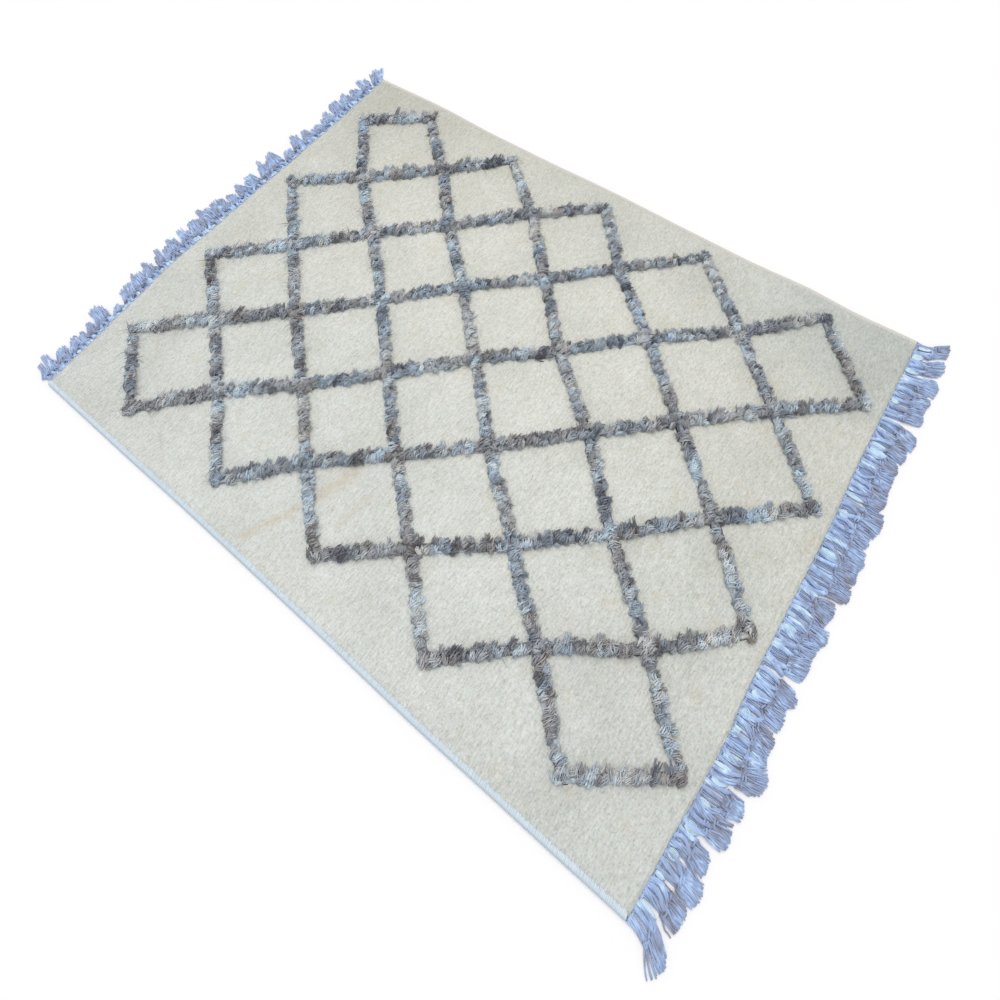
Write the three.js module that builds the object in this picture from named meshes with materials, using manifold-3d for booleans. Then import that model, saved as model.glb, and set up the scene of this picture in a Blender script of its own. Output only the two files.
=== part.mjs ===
// A hand-woven kilim rug, lying flat: a cream ground with a raised grey pile lattice, an overcast
// selvedge down each long edge and a knotted warp fringe at each end.
// Millimetres. X runs along the rug, Y across it, Z up from the floor, with the origin on the
// floor under the rug's middle.

import * as THREE from "three";
import { mergeVertices } from "three/addons/utils/BufferGeometryUtils.js";
import Module from "manifold-3d";

const wasm = await Module();
wasm.setup();

// Driving sizes of the cloth.
const LENGTH = 1955;
const WIDTH = 1500;
const GROUND_THICKNESS = 8;
const END_SLANT = Math.tan(THREE.MathUtils.degToRad(-0.7));
const SEAM_GAP = 0.3;

// Selvedge cords, fringe and pile.
const NEAR_SELVEDGE = { side: -1, width: 11, height: 9.2, seed: 17 };
const FAR_SELVEDGE = { side: 1, width: 11, height: 8.4, seed: 31 };
const BACKING_WIDTH = 7;
const BACKING_HEIGHT = 7;
const BUNDLES_PER_END = 30;
const CORDS_PER_BUNDLE = 3;
const CORD_ROOT_DEPTH = 2;
const PILE_WIDTH = 31;
const PILE_HEIGHT = 12.5;

// Steps along the outline, and along one side of a diamond.
const STEPS_ALONG = 32;
const STEPS_ACROSS = 30;
const STEPS_PER_SIDE = 4;

// How far each edge bulges outwards from a true rectangle, at places along it.
const LEFT_END = [
  { at: -750, out: -3 },
  { at: -600, out: 2 },
  { at: -450, out: 11 },
  { at: -260, out: 23 },
  { at: -60, out: 15 },
  { at: 110, out: 11 },
  { at: 300, out: 4 },
  { at: 500, out: 0 },
  { at: 750, out: 0 },
];
const RIGHT_END = [
  { at: -750, out: -9 },
  { at: -610, out: -4 },
  { at: -490, out: 3 },
  { at: -380, out: 6 },
  { at: -250, out: 1 },
  { at: 130, out: 4 },
  { at: 360, out: -1 },
  { at: 750, out: -2 },
];
const NEAR_EDGE = [
  { at: -978, out: 6 },
  { at: -700, out: 5 },
  { at: -300, out: 1.5 },
  { at: 100, out: 2 },
  { at: 450, out: 5 },
  { at: 725, out: 3 },
  { at: 978, out: 1 },
];
const FAR_EDGE = [
  { at: -978, out: 1 },
  { at: -700, out: 6 },
  { at: -460, out: -2 },
  { at: -250, out: -2 },
  { at: 10, out: 3 },
  { at: 330, out: -1 },
  { at: 490, out: -2 },
  { at: 670, out: 6 },
  { at: 810, out: 0 },
  { at: 978, out: 6 },
];

// The pile lattice: eleven rows of crossings, four and five to a row in turn. Drift is how far
// the weaver's crossings sit off an even grid, along and across the rug, from near to far.
const DIAMOND_LENGTH = 365;
const DIAMOND_WIDTH = 332;
const LATTICE_CENTRE = new THREE.Vector2(19, 14);
const CROSSING_ROWS = [
  { along: [-5, -21, -23, -5], across: [-7, -20, 17, 31] },
  { along: [22, -2, -3, -9, 8], across: [-10, -7, -5, -7, -3] },
  { along: [7, -1, -5, 16], across: [7, -10, 7, 1] },
  { along: [17, 11, 7, -2, 3], across: [0, -5, 2, 0, -3] },
  { along: [-3, 2, -4, 8], across: [9, -3, 9, 15] },
  { along: [1, -3, -6, 2, 6], across: [19, -2, 7, 4, -2] },
  { along: [-1, 0, -12, -21], across: [6, -7, -6, -6] },
  { along: [2, 13, 3, -15, -15], across: [6, -5, 7, 3, 1] },
  { along: [5, 7, -5, 0], across: [15, -9, 2, -4] },
  { along: [4, 22, 3, -5, -14], across: [13, -10, -3, 2, 2] },
  { along: [11, 2, -2, -11], across: [-9, -15, -11, -16] },
];

// A ridge's shape, as shares of its width and height: how far it reaches past its last crossings
// and how much it narrows there, how far its sides, crown and top wander, and where its
// shoulders lie.
const RIDGE = {
  reach: 0.47,
  narrowing: 0.66,
  sideWander: 0.13,
  crownWander: 0.12,
  topWander: 0.14,
  shoulderOut: 0.86,
  shoulderUp: 0.62,
};

// The fringe, bundle by bundle from the near corner to the far one: how far a bundle's tip lies
// from the true rectangle's end, and how far it leans towards the far side. Splay is the
// spacing of a bundle's cords at their tips.
const FRINGES = [
  {
    name: "fringe_right",
    side: 1,
    splay: 13,
    reach: [
      79, 79, 89, 78, 91, 95, 106, 90, 90, 90, 94, 88, 92, 97, 89,
      101, 102, 103, 92, 102, 89, 85, 87, 91, 98, 90, 90, 93, 84, 76,
    ],
    lean: [
      -26, -12, -8, -4, 2, 12, 22, 14, 4, 3, 0, 0, 2, -3, 2,
      0, 4, 3, -4, 8, 6, 3, 6, 6, 2, 6, 12, 16, 26, 46,
    ],
  },
  {
    name: "fringe_left",
    side: -1,
    splay: 9,
    reach: [
      100, 76, 75, 79, 110, 57, 92, 107, 112, 124, 116, 118, 115, 126, 112,
      92, 105, 104, 120, 116, 66, 106, 90, 64, 83, 94, 96, 78, 90, 78,
    ],
    lean: [
      12, 8, 10, 10, 20, 6, 12, 18, 12, 14, 8, 12, 10, 16, 12,
      4, 8, 10, 18, 16, 8, 26, 12, 6, 18, 22, 22, 12, 30, 44,
    ],
  },
];

// One fringe cord from its root to its tip: how much of the way out, how much of its root spacing
// it keeps, and its own width and height there. At the tip the fringe's splay gives the spacing.
const CORD_SECTIONS = [
  { way: 0, spread: 1, width: 10, height: 5.5 },
  { way: 0.34, spread: 0.9, width: 9, height: 6 },
  { way: 0.64, spread: 0.46, width: 6.8, height: 9 },
  { way: 1, width: 9, height: 4 },
];
const CROWN_HALF_WIDTH = 0.3;
const LEAN_CURVE = 1.4;
const OUTER_CORD_SHORTENING = 0.05;
const UNEVEN_SHORTENING = 0.03;

// Repeatable unevenness, as hand work has.
function unevenness(seed) {
  let state = seed;
  return () => {
    state = (state * 1664525 + 1013904223) % 4294967296;
    return (state / 4294967296) * 2 - 1;
  };
}

// The bulge at a place along an edge, eased from one row of its table to the next.
function bulge(rows, at) {
  const last = rows.length - 1;
  if (at <= rows[0].at) return rows[0].out;
  if (at >= rows[last].at) return rows[last].out;
  const next = rows.findIndex((row) => row.at > at);
  const from = rows[next - 1];
  const to = rows[next];
  const ease = THREE.MathUtils.smoothstep(at, from.at, to.at);
  return THREE.MathUtils.lerp(from.out, to.out, ease);
}

// X of an end of the cloth at a place across it, straight between one step and the next.
function endX(side, y) {
  const rows = side > 0 ? RIGHT_END : LEFT_END;
  const step = WIDTH / STEPS_ACROSS;
  const below = Math.floor(y / step) * step;
  const out = THREE.MathUtils.lerp(bulge(rows, below), bulge(rows, below + step), (y - below) / step);
  return side * (LENGTH / 2 + out) + y * END_SLANT;
}

// Y of a long edge's outer face at a place along the cloth.
function edgeY(side, x) {
  const rows = side > 0 ? FAR_EDGE : NEAR_EDGE;
  return side * (WIDTH / 2 + bulge(rows, x));
}

// The point a few steps along a long edge, a given distance in from its outer face.
function edgePoint(side, step, inset) {
  const way = step / STEPS_ALONG;
  const y = edgeY(side, THREE.MathUtils.lerp(-LENGTH / 2, LENGTH / 2, way)) - side * inset;
  return new THREE.Vector2(THREE.MathUtils.lerp(endX(-1, y), endX(1, y), way), y);
}

function edgeLine(side, inset) {
  return Array.from({ length: STEPS_ALONG + 1 }, (_, step) => edgePoint(side, step, inset));
}

// The places across the cloth where its ends are stepped, from the near one to the far one.
function stepsAcross() {
  const step = WIDTH / STEPS_ACROSS;
  return Array.from({ length: STEPS_ACROSS + 1 }, (_, i) => i * step - WIDTH / 2);
}

// Six times the volume inside a set of triangles, negative where they face inwards.
function signedVolume(points, faces) {
  let volume = 0;
  for (let i = 0; i < faces.length; i += 3) {
    const [a, b, c] = [points[faces[i]], points[faces[i + 1]], points[faces[i + 2]]];
    volume += a.dot(b.clone().cross(c));
  }
  return volume;
}

// A closed solid through rings of points with equal counts, its two ends capped by fans.
function loft(rings) {
  const count = rings[0].length;
  const points = rings.flat();
  const faces = [];
  for (let ring = 0; ring < rings.length - 1; ring += 1) {
    for (let i = 0; i < count; i += 1) {
      const a = ring * count + i;
      const b = ring * count + ((i + 1) % count);
      faces.push(a, b, b + count, a, b + count, a + count);
    }
  }
  const end = (rings.length - 1) * count;
  for (let i = 1; i < count - 1; i += 1) {
    faces.push(0, i + 1, i);
    faces.push(end, end + i, end + i + 1);
  }
  if (signedVolume(points, faces) < 0) faces.reverse();
  const positions = points.flatMap((point) => point.toArray());
  const geometry = new THREE.BufferGeometry();
  geometry.setAttribute("position", new THREE.Float32BufferAttribute(positions, 3));
  geometry.setIndex(faces);
  return geometry;
}

// A cross-section, listed as sideways and height, stood upright at a point of a level path.
function sectionAt(section, point, heading) {
  const sideways = new THREE.Vector2(-heading.y, heading.x);
  return section.map(([across, height]) => {
    const x = point.x + sideways.x * across;
    const y = point.y + sideways.y * across;
    return new THREE.Vector3(x, y, height);
  });
}

function toSolid(geometry) {
  const bare = geometry.clone();
  bare.deleteAttribute("normal");
  bare.deleteAttribute("uv");
  const merged = mergeVertices(bare);
  return new wasm.Manifold(
    new wasm.Mesh({
      numProp: 3,
      vertProperties: new Float32Array(merged.attributes.position.array),
      triVerts: new Uint32Array(merged.index.array),
    }),
  );
}

function toGeometry(solid) {
  const mesh = solid.getMesh();
  const geometry = new THREE.BufferGeometry();
  geometry.setAttribute("position", new THREE.Float32BufferAttribute(mesh.vertProperties, 3));
  geometry.setIndex(Array.from(mesh.triVerts));
  return geometry;
}

function joined(geometries) {
  const solids = geometries.map(toSolid);
  return toGeometry(solids.reduce((whole, solid) => whole.add(solid)));
}

function subpart(name, geometry, material) {
  geometry.computeVertexNormals();
  const mesh = new THREE.Mesh(geometry, material);
  mesh.name = name;
  return mesh;
}

// The ground weave: one flat cloth, with the outline that lies inside both selvedges.
function groundWeave() {
  const near = edgeLine(NEAR_SELVEDGE.side, NEAR_SELVEDGE.width + SEAM_GAP);
  const far = edgeLine(FAR_SELVEDGE.side, FAR_SELVEDGE.width + SEAM_GAP);
  const inner = stepsAcross().slice(1, -1);
  const right = inner.map((y) => new THREE.Vector2(endX(1, y), y));
  const left = inner.map((y) => new THREE.Vector2(endX(-1, y), y));
  const outline = [...near, ...right, ...far.reverse(), ...left.reverse()];
  return new THREE.ExtrudeGeometry(new THREE.Shape(outline), {
    depth: GROUND_THICKNESS,
    bevelEnabled: false,
  });
}

// A selvedge: the edge warps overcast with yarn into a cord, flat under it and round outside. Its
// profile is listed as shares of its width, from the cloth outwards, and of its height.
const SELVEDGE_PROFILE = [
  [0, 0],
  [0.86, 0],
  [1, 0.42],
  [0.84, 0.82],
  [0.45, 1],
  [0, 0.9],
];
const SELVEDGE_WOBBLE = 0.05;

function selvedge({ side, width, height: full, seed }) {
  const wobble = unevenness(seed);
  const rings = [];
  for (let step = 0; step <= STEPS_ALONG; step += 1) {
    const height = full * (1 + SELVEDGE_WOBBLE * wobble());
    rings.push(
      SELVEDGE_PROFILE.map(([out, up]) => {
        const point = edgePoint(side, step, width * (1 - out));
        return new THREE.Vector3(point.x, point.y, up * height);
      }),
    );
  }
  return loft(rings);
}

// Where the pile ridges cross: a row along the rug, counted from its left end, and a column
// across it, counted in half diamonds from its middle.
function crossing(row, column) {
  const drift = CROSSING_ROWS[row];
  const place = drift ? (column + drift.along.length - 1) / 2 : -1;
  if (!drift || place < 0 || place >= drift.along.length) return undefined;
  const middle = (CROSSING_ROWS.length - 1) / 2;
  const x = (row - middle) * (DIAMOND_LENGTH / 2) + drift.along[place];
  const y = column * (DIAMOND_WIDTH / 2) + drift.across[place];
  return new THREE.Vector2(x, y).add(LATTICE_CENTRE);
}

// Every ridge line of the lattice that slants one way: slant 1 to the far side, -1 to the near.
function ridgeLines(slant) {
  const lines = [];
  for (let row = 0; row < CROSSING_ROWS.length; row += 1) {
    const count = CROSSING_ROWS[row].along.length;
    for (let column = 1 - count; column < count; column += 2) {
      if (crossing(row - 1, column - slant)) continue;
      const line = [];
      for (let step = 0; crossing(row + step, column + slant * step); step += 1) {
        line.push(crossing(row + step, column + slant * step));
      }
      lines.push(line);
    }
  }
  return lines;
}

// One ridge of pile: a low dome of knotted yarn on the ground, lumpy along its length, that
// starts and ends half a width past its last crossings.
function pileRidge(line, wobble) {
  const base = GROUND_THICKNESS + SEAM_GAP;
  const stations = [];
  for (let i = 0; i < line.length - 1; i += 1) {
    for (let step = 0; step < STEPS_PER_SIDE; step += 1) {
      stations.push(line[i].clone().lerp(line[i + 1], step / STEPS_PER_SIDE));
    }
  }
  stations.push(line[line.length - 1].clone());
  const last = stations.length - 1;
  const headings = stations.map((_, i) => {
    const ahead = stations[Math.min(i + 1, last)];
    return ahead.clone().sub(stations[Math.max(i - 1, 0)]).normalize();
  });
  const tipReach = PILE_WIDTH * RIDGE.reach;
  stations[0].addScaledVector(headings[0], -tipReach);
  stations[last].addScaledVector(headings[last], tipReach);
  const rings = stations.map((point, i) => {
    const taper = i === 0 || i === last ? RIDGE.narrowing : 1;
    const left = -PILE_WIDTH / 2 * taper * (1 + RIDGE.sideWander * wobble());
    const right = PILE_WIDTH / 2 * taper * (1 + RIDGE.sideWander * wobble());
    const top = PILE_HEIGHT * taper * (1 + RIDGE.topWander * wobble());
    const crown = PILE_WIDTH * RIDGE.crownWander * wobble();
    const section = [
      [left, base],
      [right, base],
      [right * RIDGE.shoulderOut, base + top * RIDGE.shoulderUp],
      [crown, base + top],
      [left * RIDGE.shoulderOut, base + top * RIDGE.shoulderUp],
    ];
    return sectionAt(section, point, headings[i]);
  });
  return loft(rings);
}

function pileLattice() {
  const wobble = unevenness(5);
  const lines = [...ridgeLines(1), ...ridgeLines(-1)];
  return joined(lines.map((line) => pileRidge(line, wobble)));
}

// The backing of a fringe: the warps' last turn, a narrow strip just off the cloth's end that
// slopes down outwards.
const BACKING_OUTER_HEIGHT = BACKING_HEIGHT * 0.8;

function fringeBacking(side) {
  const rings = stepsAcross().map((y) => {
    const inner = endX(side, y) + side * SEAM_GAP;
    const outer = inner + side * BACKING_WIDTH;
    return [
      new THREE.Vector3(inner, y, 0),
      new THREE.Vector3(outer, y, 0),
      new THREE.Vector3(outer, y, BACKING_OUTER_HEIGHT),
      new THREE.Vector3(inner, y, BACKING_HEIGHT),
    ];
  });
  return loft(rings);
}

// One fringe cord, resting level on the floor from the backing out to its frayed tip.
function fringeCord(fringe, bundle, place, wobble) {
  const bundlePitch = WIDTH / BUNDLES_PER_END;
  const cordPitch = bundlePitch / CORDS_PER_BUNDLE;
  const middle = (bundle + 0.5) * bundlePitch - WIDTH / 2;
  const root = endX(fringe.side, middle) + fringe.side * (SEAM_GAP + BACKING_WIDTH - CORD_ROOT_DEPTH);
  const shortening = OUTER_CORD_SHORTENING * Math.abs(place) + UNEVEN_SHORTENING * (1 + wobble());
  const tip = fringe.side * (LENGTH / 2 + fringe.reach[bundle]) + middle * END_SLANT;
  const heading = new THREE.Vector2(fringe.side, 0);
  const rings = CORD_SECTIONS.map(({ way, spread, width, height }) => {
    const spacing = spread ? cordPitch * spread : fringe.splay;
    const lean = fringe.lean[bundle] * way ** LEAN_CURVE;
    const x = THREE.MathUtils.lerp(root, tip, way * (spread ? 1 : 1 - shortening));
    const y = middle + place * spacing + lean;
    const section = [
      [-width / 2, 0],
      [width / 2, 0],
      [width * CROWN_HALF_WIDTH, height],
      [-width * CROWN_HALF_WIDTH, height],
    ];
    return sectionAt(section, new THREE.Vector2(x, y), heading);
  });
  return loft(rings);
}

function fringeEnd(fringe) {
  const wobble = unevenness(fringe.side > 0 ? 71 : 43);
  const pieces = [fringeBacking(fringe.side)];
  const outermost = (CORDS_PER_BUNDLE - 1) / 2;
  for (let bundle = 0; bundle < BUNDLES_PER_END; bundle += 1) {
    for (let place = -outermost; place <= outermost; place += 1) {
      pieces.push(fringeCord(fringe, bundle, place, wobble));
    }
  }
  return joined(pieces);
}

function yarn(color, roughness) {
  return new THREE.MeshStandardMaterial({ color, roughness, metalness: 0 });
}

const groundWool = yarn("#d9dad2", 0.95);
const pileWool = yarn("#80858d", 0.98);
const paleOvercasting = yarn("#d5e2e8", 0.9);
const creamOvercasting = yarn("#cfd0c6", 0.95);
const fringeCotton = yarn("#a3acca", 0.92);

const rug = new THREE.Group();
rug.add(subpart("ground_weave", groundWeave(), groundWool));
rug.add(subpart("pile_lattice", pileLattice(), pileWool));
rug.add(subpart("selvedge_near", selvedge(NEAR_SELVEDGE), paleOvercasting));
rug.add(subpart("selvedge_far", selvedge(FAR_SELVEDGE), creamOvercasting));
for (const fringe of FRINGES) {
  rug.add(subpart(fringe.name, fringeEnd(fringe), fringeCotton));
}

export default rug;
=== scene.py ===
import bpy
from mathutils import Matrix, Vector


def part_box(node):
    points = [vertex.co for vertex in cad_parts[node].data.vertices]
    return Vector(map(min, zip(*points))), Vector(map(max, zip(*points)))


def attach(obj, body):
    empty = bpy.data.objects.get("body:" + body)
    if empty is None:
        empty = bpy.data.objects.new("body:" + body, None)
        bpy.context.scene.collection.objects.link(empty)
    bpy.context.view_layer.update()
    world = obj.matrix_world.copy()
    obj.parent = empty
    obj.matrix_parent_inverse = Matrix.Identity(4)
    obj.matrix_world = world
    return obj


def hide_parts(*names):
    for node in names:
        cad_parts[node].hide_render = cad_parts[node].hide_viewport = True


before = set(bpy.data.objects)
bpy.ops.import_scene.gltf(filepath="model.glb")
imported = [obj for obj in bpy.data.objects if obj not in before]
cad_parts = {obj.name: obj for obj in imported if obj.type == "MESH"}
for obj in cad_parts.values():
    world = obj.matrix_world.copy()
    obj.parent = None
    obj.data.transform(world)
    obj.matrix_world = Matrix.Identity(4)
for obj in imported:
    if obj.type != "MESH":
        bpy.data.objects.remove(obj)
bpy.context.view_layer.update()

import math

import bpy
import numpy as np
from mathutils import noise
from mathutils.bvhtree import BVHTree

# The viewpoint: a phone held at arm's length over the rug's near right corner, looking down
# across it. The picture is cut from the lower part of a wider one, hence the shift.
EYE = (0.645, -0.513, 1.603)
TURN_DEG = (28.50, 4.09, 36.93)
LENS_MM = 23.04
SENSOR_MM = 36.0
FRAME_SHIFT = -0.16
bpy.ops.object.camera_add(location=EYE, rotation=[math.radians(a) for a in TURN_DEG])
camera = bpy.context.object
camera.data.sensor_width = SENSOR_MM
camera.data.lens = LENS_MM
camera.data.shift_y = FRAME_SHIFT
bpy.context.scene.camera = camera
bpy.context.scene.view_settings.view_transform = "Standard"


# The floor and the light: matt white board in open shade. The sky's share of the light is a
# little blue and the lamp's a little warm, so open floor is white and deep gaps turn blue.
def linear(hex_code):
    """The linear RGBA of an sRGB hex colour."""
    parts = [int(hex_code[i : i + 2], 16) / 255 for i in (1, 3, 5)]
    curve = [c / 12.92 if c <= 0.04045 else ((c + 0.055) / 1.055) ** 2.4 for c in parts]
    return (*curve, 1.0)


def add(tree, kind, inputs=None, **settings):
    """A node of that kind, with its settings, and each input set or linked by name or place.

    A colour mix takes its two colours at inputs 6 and 7 and gives its result at output 2.
    """
    made = tree.nodes.new(kind)
    for name, value in settings.items():
        setattr(made, name, value)
    for key, value in (inputs or {}).items():
        if isinstance(value, bpy.types.NodeSocket):
            tree.links.new(value, made.inputs[key])
        else:
            made.inputs[key].default_value = value
    return made


def new_material(name):
    """A material with an empty Principled shader, and its node tree."""
    material = bpy.data.materials.new(name)
    material.use_nodes = True
    return material, material.node_tree, material.node_tree.nodes["Principled BSDF"]


def colours(tree, factor, stops):
    """A colour ramp through (place, hex) stops, driven by a factor."""
    stops = list(stops)
    ramp = add(tree, "ShaderNodeValToRGB", {"Fac": factor})
    elements = ramp.color_ramp.elements
    while len(elements) < len(stops):
        elements.new(0.5)
    for element, (place, hex_code) in zip(elements, stops):
        element.position = place
        element.color = linear(hex_code)
    return ramp.outputs["Color"]


FLOOR_SIZE = 14.0
FLOOR_DROP = 0.0006
SKY_LIGHT = (0.65, 0.67, 0.69)
LAMP_LIGHT = (0.39, 0.36, 0.33)
LAMP_TILT_DEG = (-20, -12)
LAMP_SPREAD_DEG = 50
bpy.ops.mesh.primitive_plane_add(size=FLOOR_SIZE, location=(0, 0, -FLOOR_DROP))
floor = bpy.context.object
floor.name = "floor"
floor_paint, _, floor_shader = new_material("matt_white_board")
floor_shader.inputs["Base Color"].default_value = linear("#fcfcfd")
floor_shader.inputs["Roughness"].default_value = 0.9
floor.data.materials.append(floor_paint)

sky = bpy.data.worlds.new("open_shade")
sky.use_nodes = True
sky.node_tree.nodes["Background"].inputs["Color"].default_value = (*SKY_LIGHT, 1.0)
sky.node_tree.nodes["Background"].inputs["Strength"].default_value = 1.0
bpy.context.scene.world = sky
tilt = [math.radians(a) for a in LAMP_TILT_DEG]
bpy.ops.object.light_add(type="SUN", rotation=(*tilt, 0))
lamp = bpy.context.object
lamp.data.energy = math.pi / (math.cos(tilt[0]) * math.cos(tilt[1]))
lamp.data.color = LAMP_LIGHT
lamp.data.angle = math.radians(LAMP_SPREAD_DEG)


# The ground weave: one cloth of thick cream wool weft beaten down over cotton warps, nubby and
# slightly uneven. It lies flat, with a few soft creases left from folding and faint old stains.
CELLS_ALONG = 200
CELLS_ACROSS = 152
SOFT_RISE = 0.0007
NUB_RISE = 0.0004
RIM_DROP = (0.12, 0.02)
FAR_RIM_SHARE = 0.2
CORNER_ZONE = 0.04
UNDERSIDE_LIFT = 0.0004
SOFT_WAVES_PER_M = 7
CREASE_DEPTH = 0.0016
FOLD_RISE = 0.0014
# Painted highlight: how much paler the raised folds' tops are drawn.
FOLD_PAINTED_HIGHLIGHT = 0.15
CREASES = [
    (0.0100, 0.8, [(-0.163, -0.703), (-0.142, -0.657), (-0.119, -0.615), (-0.099, -0.563)]),
    (0.0190, 0.7, [(-0.081, -0.522), (-0.068, -0.484), (-0.053, -0.451), (-0.043, -0.411)]),
    (0.0090, 0.5, [(0.020, -0.539), (0.021, -0.495), (0.026, -0.463), (0.033, -0.440)]),
    (0.0070, 0.6, [(-0.129, 0.410), (-0.102, 0.457)]),
]
RAISED_FOLDS = [
    (0.0150, 1.0, [(-0.195, -0.698), (-0.170, -0.631), (-0.145, -0.569), (-0.130, -0.532)]),
    (0.0120, 0.8, [(-0.049, -0.533), (-0.025, -0.472), (-0.005, -0.407), (0.013, -0.348)]),
]


def points_of(node):
    """The points of a CAD node's mesh as an array."""
    return np.array([v.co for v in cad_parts[node].data.vertices], float)


def edge_line(points, along, across, side):
    """The outline along one side: its points in order, without the corners' other sides."""
    reach = points[:, across] * side
    chosen = points[reach > reach.max() - CORNER_ZONE]
    _, first = np.unique(chosen[:, along].round(5), return_index=True)
    return chosen[first][:, along], chosen[first][:, across]


def select_only(obj):
    """Makes one object the active and only selected one."""
    bpy.ops.object.select_all(action="DESELECT")
    obj.select_set(True)
    bpy.context.view_layer.objects.active = obj


def settle(obj):
    """Leaves an object's place in its mesh and shades it smooth."""
    select_only(obj)
    bpy.ops.object.transform_apply(location=True, rotation=True, scale=True)
    bpy.ops.object.shade_smooth()


def along_folds(x, y, folds):
    """How near the middle of a fold each point lies, from 0 outside to the fold's own depth."""
    strength = np.zeros_like(x)
    for half_width, depth, line in folds:
        for (ax, ay), (bx, by) in zip(line, line[1:]):
            dx, dy = bx - ax, by - ay
            way = np.clip(((x - ax) * dx + (y - ay) * dy) / (dx * dx + dy * dy), 0, 1)
            away = np.hypot(x - ax - way * dx, y - ay - way * dy)
            strength = np.maximum(strength, depth * np.exp(-((away / half_width) ** 2)))
    return strength


def eased(value, start, end):
    """A soft step from 0 at the start to 1 at the end."""
    way = np.clip((value - start) / (end - start), 0, 1)
    return way * way * (3 - 2 * way)


def far_right_corner(x, y):
    """How far into the far right corner each point lies, where painted shade greys the wool and its
    tint is cooler.
    """
    return eased(x, 0.30, 0.90) * eased(y, 0.30, 0.72)


def painted_margin_shade(x, y):
    """How much painted shade greys the wool: most at the right end and along the far edge."""
    ends = 0.42 * eased(x, 0.35, 1.0) + 0.30 * eased(-x, 0.45, 1.0)
    far_left = 0.20 * eased(-x, 0.45, 0.75) * eased(y, 0.30, 0.70)
    far_right = 0.14 * far_right_corner(x, y)
    margins = 0.42 * eased(y, 0.30, 0.75) + 0.08 * eased(-y, 0.45, 0.75)
    return ends + far_left + far_right + margins


def coolness(x, y):
    """How cool the undyed wool looks: most at the near edge and in the far right corner."""
    far_margin = 0.35 * eased(x, -0.5, 0.3) * eased(y, 0.35, 0.72)
    return 0.57 - y / 1.5 + 0.6 * far_right_corner(x, y) + far_margin


def set_points(mesh, points):
    """Moves all the points of a mesh."""
    mesh.vertices.foreach_set("co", np.asarray(points, np.float32).ravel())
    mesh.update()


def store(mesh, name, values):
    """Keeps one number for each point of a mesh under a name that materials can read."""
    layer = mesh.attributes.new(name, "FLOAT", "POINT")
    layer.data.foreach_set("value", np.asarray(values, np.float32))


bpy.ops.object.select_all(action="DESELECT")
bpy.ops.mesh.primitive_grid_add(x_subdivisions=CELLS_ALONG, y_subdivisions=CELLS_ACROSS, size=2)
ground = bpy.context.object
ground.name = "ground"
cloth = points_of("ground_weave")
ground_top = cloth[:, 2].max()
near_edge = edge_line(cloth, 0, 1, -1)
far_edge = edge_line(cloth, 0, 1, 1)
left_end = edge_line(cloth, 1, 0, -1)
right_end = edge_line(cloth, 1, 0, 1)
unit = np.array([v.co for v in ground.data.vertices], float)
u, v = (unit[:, 0] + 1) / 2, (unit[:, 1] + 1) / 2
x, y = unit[:, 0] * 0.97, unit[:, 1] * 0.74
for _ in range(5):
    y = (1 - v) * np.interp(x, *near_edge) + v * np.interp(x, *far_edge)
    x = (1 - u) * np.interp(y, *left_end) + u * np.interp(y, *right_end)
soft = np.array(
    [noise.noise((a * SOFT_WAVES_PER_M, b * SOFT_WAVES_PER_M, 3.0)) for a, b in zip(x, y)]
)
nubs = np.random.default_rng(3).uniform(-1, 1, len(x))
from_rim = np.minimum(np.minimum(u, 1 - u) * CELLS_ALONG, np.minimum(v, 1 - v) * CELLS_ACROSS)
drop = np.where(from_rim < 0.5, RIM_DROP[0], np.where(from_rim < 1.5, RIM_DROP[1], 0.0))
drop = drop * np.where((1 - v) * CELLS_ACROSS < 1.5, FAR_RIM_SHARE, 1.0)
creased = along_folds(x, y, CREASES)
raised = along_folds(x, y, RAISED_FOLDS)
z = ground_top * (1 - drop) + SOFT_RISE * soft + NUB_RISE * nubs
z = z - CREASE_DEPTH * creased + FOLD_RISE * raised
set_points(ground.data, np.stack([x, y, z], 1))
bpy.ops.object.mode_set(mode="EDIT")
bpy.ops.mesh.select_all(action="DESELECT")
bpy.ops.mesh.select_mode(type="VERT")
bpy.ops.mesh.select_non_manifold()
bpy.ops.mesh.extrude_region_move(TRANSFORM_OT_translate={"value": (0, 0, -ground_top)})
bpy.ops.mesh.edge_face_add()
bpy.ops.object.mode_set(mode="OBJECT")
for point in ground.data.vertices[len(x) :]:
    point.co.z = UNDERSIDE_LIFT
under = np.zeros(len(ground.data.vertices) - len(x))
store(ground.data, "crease", np.concatenate([creased, under]))
# The raised folds are drawn paler, a painted highlight.
margin_shade_top = painted_margin_shade(x, y) - FOLD_PAINTED_HIGHLIGHT * raised
store(ground.data, "margin_shade", np.concatenate([margin_shade_top, under + 0.5]))
store(ground.data, "cool", np.concatenate([coolness(x, y), under + 0.5]))
settle(ground)
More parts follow.
